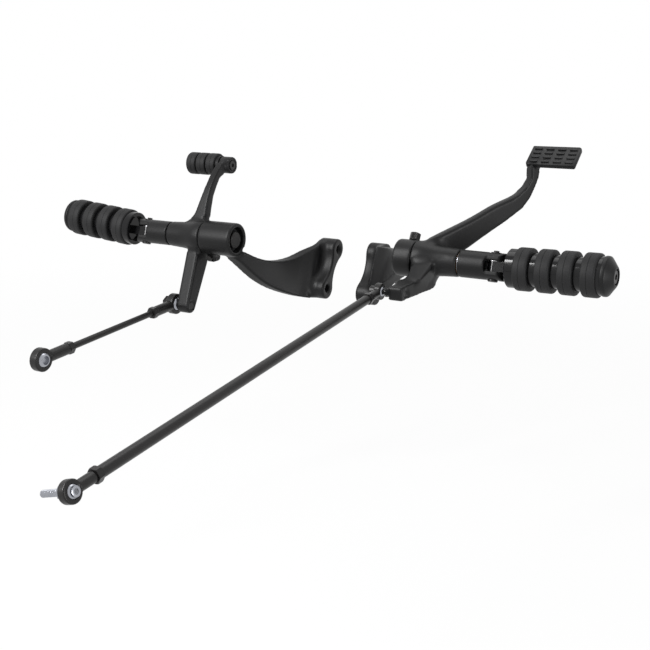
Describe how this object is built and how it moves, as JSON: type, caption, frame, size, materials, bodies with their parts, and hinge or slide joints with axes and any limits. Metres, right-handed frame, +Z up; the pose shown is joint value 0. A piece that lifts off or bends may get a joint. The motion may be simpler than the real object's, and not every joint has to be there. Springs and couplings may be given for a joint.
{
  "type": "motorcycle forward controls",
  "caption": "Black forward foot controls: curved frame brackets carrying a shift lever and a brake pedal with linkage rods, and folding ringed foot pegs.",
  "frame": {"origin": "middle of the two bolt holes of the left flange, on its mounting face", "axes": "+X to the rider's right along the pivot axis, +Y forward, +Z up"},
  "size_m": [0.6372, 0.6025, 0.196],
  "materials": {
    "satin_black": "satin powder coat",
    "gloss_black": "gloss",
    "black_steel": "black oxide, satin",
    "rubber": "matte",
    "zinc": "bright zinc",
    "steel": "plain",
    "bronze": "sintered"
  },
  "bodies": {
    "frame_side": {"left_bracket": "satin_black", "left_clevis": "satin_black", "left_clevis_pin": "black_steel", "left_pin_clip": "black_steel", "left_pivot_bolt": "black_steel", "left_pivot_sleeve": "steel", "left_spring_washer": "steel", "left_thrust_washer": "zinc", "right_bracket": "satin_black", "right_clevis": "satin_black", "right_clevis_pin": "black_steel", "right_pin_clip": "black_steel", "right_pivot_bolt": "black_steel", "right_pivot_sleeve": "steel", "right_spring_washer": "steel", "right_thrust_washer": "zinc", "shift_stop_screw": "black_steel", "pedal_stop_screw": "black_steel"},
    "shift_lever": {"shift_lever": "satin_black", "left_bushes": "bronze", "toe_peg_core": "satin_black", "toe_peg_ring_1": "rubber", "toe_peg_ring_2": "rubber", "toe_peg_ring_3": "rubber", "toe_peg_bolt": "black_steel", "shift_link_bolt": "black_steel", "shift_ball_front": "zinc"},
    "brake_pedal": {"brake_pedal": "satin_black", "right_bushes": "bronze", "brake_link_bolt": "black_steel", "brake_ball_front": "zinc"},
    "shift_link": {"shift_rod_end_front": "black_steel", "shift_rod": "black_steel", "shift_jam_nuts": "black_steel", "shift_rod_end_rear": "black_steel"},
    "shift_rear_ball": {"shift_ball_rear": "zinc"},
    "brake_link": {"brake_rod_end_front": "black_steel", "brake_rod": "black_steel", "brake_jam_nuts": "black_steel", "brake_rod_end_rear": "black_steel"},
    "brake_rear_ball": {"brake_ball_rear": "zinc", "brake_rear_bolt": "zinc", "brake_rear_nut": "zinc"},
    "left_peg": {"left_peg_cap": "gloss_black", "left_peg_core": "gloss_black", "left_peg_ring_1": "rubber", "left_peg_ring_2": "rubber", "left_peg_ring_3": "rubber", "left_peg_ring_4": "rubber", "left_peg_screw": "black_steel"},
    "right_peg": {"right_peg_cap": "gloss_black", "right_peg_core": "gloss_black", "right_peg_ring_1": "rubber", "right_peg_ring_2": "rubber", "right_peg_ring_3": "rubber", "right_peg_ring_4": "rubber", "right_peg_screw": "black_steel"}
  },
  "joints": [
    {"name": "shift_lever_pivot", "type": "hinge", "parent": "frame_side", "child": "shift_lever", "pos_m": [0.02, -0.09535, 0.04195], "axis": [1, 0, 0], "range_deg": [-15, 15]},
    {"name": "brake_pedal_pivot", "type": "hinge", "parent": "frame_side", "child": "brake_pedal", "pos_m": [0.02, -0.09535, 0.04195], "axis": [1, 0, 0], "range_deg": [-20, 0]},
    {"name": "shift_rod_front", "type": "hinge", "parent": "shift_lever", "child": "shift_link", "pos_m": [-0.129, -0.12335, -0.02905], "axis": [1, 0, 0], "range_deg": [-30, 30]},
    {"name": "brake_rod_front", "type": "hinge", "parent": "brake_pedal", "child": "brake_link", "pos_m": [0.132, -0.15135, 0.01945], "axis": [1, 0, 0], "range_deg": [-30, 30]},
    {"name": "shift_rear_ball_tilt", "type": "hinge", "parent": "shift_link", "child": "shift_rear_ball", "pos_m": [-0.129, -0.32629, -0.03933], "axis": [0, -0.9987, -0.0506], "range_deg": [-12, 12]},
    {"name": "brake_rear_ball_tilt", "type": "hinge", "parent": "brake_link", "child": "brake_rear_ball", "pos_m": [0.132, -0.57031, -0.01986], "axis": [0, -0.9956, -0.0934], "range_deg": [-7, 7]},
    {"name": "left_peg_fold", "type": "hinge", "parent": "frame_side", "child": "left_peg", "pos_m": [-0.1835, -0.09535, 0.04195], "axis": [0, 0.2924, 0.9563], "range_deg": [0, 86]},
    {"name": "right_peg_fold", "type": "hinge", "parent": "frame_side", "child": "right_peg", "pos_m": [0.2235, -0.09535, 0.04195], "axis": [0, 0.2924, 0.9563], "range_deg": [-86, 0]}
  ]
}
